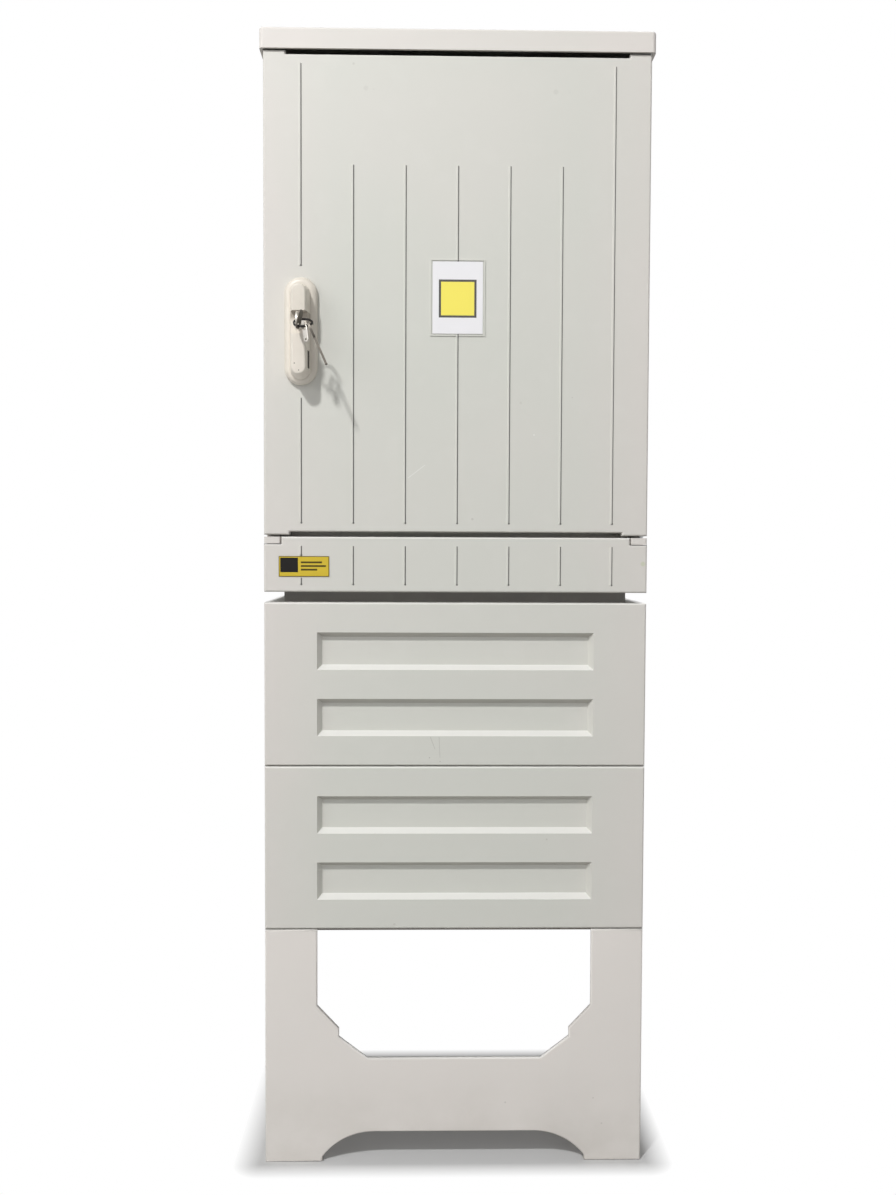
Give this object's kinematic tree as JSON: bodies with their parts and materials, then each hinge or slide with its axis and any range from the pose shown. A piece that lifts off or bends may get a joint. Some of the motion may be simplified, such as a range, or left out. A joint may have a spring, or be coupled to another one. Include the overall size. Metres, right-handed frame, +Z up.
{
  "type": "roadside utility cabinet",
  "caption": "Moulded roadside cable cabinet with a ribbed door, espagnolette handle, hipped roof and a tall foundation with pull-off covers.",
  "frame": {"origin": "middle of the footprint, on the ground, in the foundation's open bottom where the cables come up", "axes": "+Z up, +X to the right seen from the front, -Y out of the door"},
  "size_m": [0.407, 0.3174, 1.192],
  "materials": {
    "body_grp": "light grey glass-fibre polyester, fine moulded skin",
    "foundation_grp": "light grey glass-fibre polyester, slightly dusty",
    "handle_cream": "cream moulded plastic",
    "zinc_steel": "zinc-plated steel",
    "nickel": "nickel-plated, lightly worn",
    "cast_zinc": "die-cast zinc",
    "seal_rubber": "black foam rubber",
    "sign_sheet": "white enamelled sheet",
    "label_yellow": "yellow laminated label",
    "switch_dark": "dark grey thermoset",
    "switch_lid": "mid grey thermoset",
    "ceramic": "glazed ceramic",
    "ring_steel": "darkened spring steel",
    "copper": "bare copper",
    "insulator_red": "red-brown cast resin"
  },
  "bodies": {
    "cabinet": {"foundation_front_frame": "foundation_grp", "foundation_back_frame": "foundation_grp", "foundation_left_side": "foundation_grp", "foundation_right_side": "foundation_grp", "foundation_top_deck": "foundation_grp", "cable_rail": "zinc_steel", "cable_saddles": "switch_dark", "cable_straps": "switch_dark", "base_frame": "body_grp", "left_side_wall": "body_grp", "right_side_wall": "body_grp", "back_wall": "body_grp", "roof": "body_grp", "upper_rail": "body_grp", "lower_rail": "body_grp", "lower_lugs": "body_grp", "upper_hinge_bracket": "zinc_steel", "hinge_pins": "zinc_steel", "lower_front_panel": "body_grp", "label_plate": "label_yellow", "mounting_plate": "zinc_steel", "plate_standoffs": "zinc_steel", "fuse_switch_base": "switch_dark", "fuse_contacts": "copper", "fuse_switch_pin": "zinc_steel", "busbars": "copper", "bar_posts": "insulator_red", "earth_bar": "copper"},
    "door_leaf": {"door": "body_grp", "door_seal": "seal_rubber", "sign_plate": "sign_sheet", "handle_escutcheon": "handle_cream", "lock_case": "zinc_steel", "rod_guides": "zinc_steel"},
    "handle": {"handle_lever": "handle_cream", "lock_cylinder": "nickel", "lock_spindle": "zinc_steel", "lock_pinion": "cast_zinc"},
    "dust_cover": {"handle_dust_cover": "handle_cream"},
    "key": {"lock_key": "nickel", "lock_plug": "nickel"},
    "ring": {"key_ring": "ring_steel", "key_tag": "nickel"},
    "spare": {"spare_key": "nickel"},
    "upper_rod": {"upper_lock_rod": "zinc_steel"},
    "lower_rod": {"lower_lock_rod": "zinc_steel"},
    "switch_lid": {"fuse_switch_cover": "switch_lid", "fuse_links": "ceramic"},
    "front_upper_cover": {"foundation_upper_cover": "foundation_grp"},
    "front_lower_cover": {"foundation_lower_cover": "foundation_grp"},
    "rear_upper_cover": {"foundation_back_upper_cover": "foundation_grp"},
    "rear_lower_cover": {"foundation_back_lower_cover": "foundation_grp"}
  },
  "joints": [
    {"name": "door_hinge", "type": "hinge", "parent": "cabinet", "child": "door_leaf", "pos_m": [0.1955, -0.113, 0.914], "axis": [0, 0, 1], "range_deg": [0, 115]},
    {"name": "handle_turn", "type": "hinge", "parent": "door_leaf", "child": "handle", "pos_m": [-0.161, -0.125, 0.88], "axis": [0, -1, 0], "range_deg": [0, 90]},
    {"name": "upper_rod_slide", "type": "slide", "parent": "door_leaf", "child": "upper_rod", "axis": [0, 0, 1], "range_m": [0, 0.01257]},
    {"name": "lower_rod_slide", "type": "slide", "parent": "door_leaf", "child": "lower_rod", "axis": [0, 0, -1], "range_m": [0, 0.01257]},
    {"name": "dust_cover_slide", "type": "slide", "parent": "handle", "child": "dust_cover", "axis": [0, 0, -1], "range_m": [0, 0.005]},
    {"name": "key_turn", "type": "hinge", "parent": "handle", "child": "key", "pos_m": [-0.161, -0.15, 0.88], "axis": [0, 1, 0], "range_deg": [0, 90]},
    {"name": "ring_swing", "type": "hinge", "parent": "key", "child": "ring", "pos_m": [-0.161, -0.169, 0.88], "axis": [1, 0, 0], "range_deg": [-15, 25]},
    {"name": "spare_key_swing", "type": "hinge", "parent": "ring", "child": "spare", "pos_m": [-0.14759, -0.17992, 0.87263], "axis": [-0.9135, 0, -0.4067], "range_deg": [-12, 12]},
    {"name": "switch_lid_swing", "type": "hinge", "parent": "cabinet", "child": "switch_lid", "pos_m": [0, 0.0405, 0.884], "axis": [1, 0, 0], "range_deg": [0, 70]},
    {"name": "front_upper_cover_pull", "type": "slide", "parent": "cabinet", "child": "front_upper_cover", "axis": [0, -1, 0], "range_m": [0, 0.04]},
    {"name": "front_lower_cover_pull", "type": "slide", "parent": "cabinet", "child": "front_lower_cover", "axis": [0, -1, 0], "range_m": [0, 0.04]},
    {"name": "rear_upper_cover_pull", "type": "slide", "parent": "cabinet", "child": "rear_upper_cover", "axis": [0, 1, 0], "range_m": [0, 0.04]},
    {"name": "rear_lower_cover_pull", "type": "slide", "parent": "cabinet", "child": "rear_lower_cover", "axis": [0, 1, 0], "range_m": [0, 0.04]}
  ],
  "couplings": [
    {"joint": "upper_rod_slide", "follows": "handle_turn", "m_per_rad": 0.008},
    {"joint": "lower_rod_slide", "follows": "handle_turn", "m_per_rad": 0.008}
  ]
}
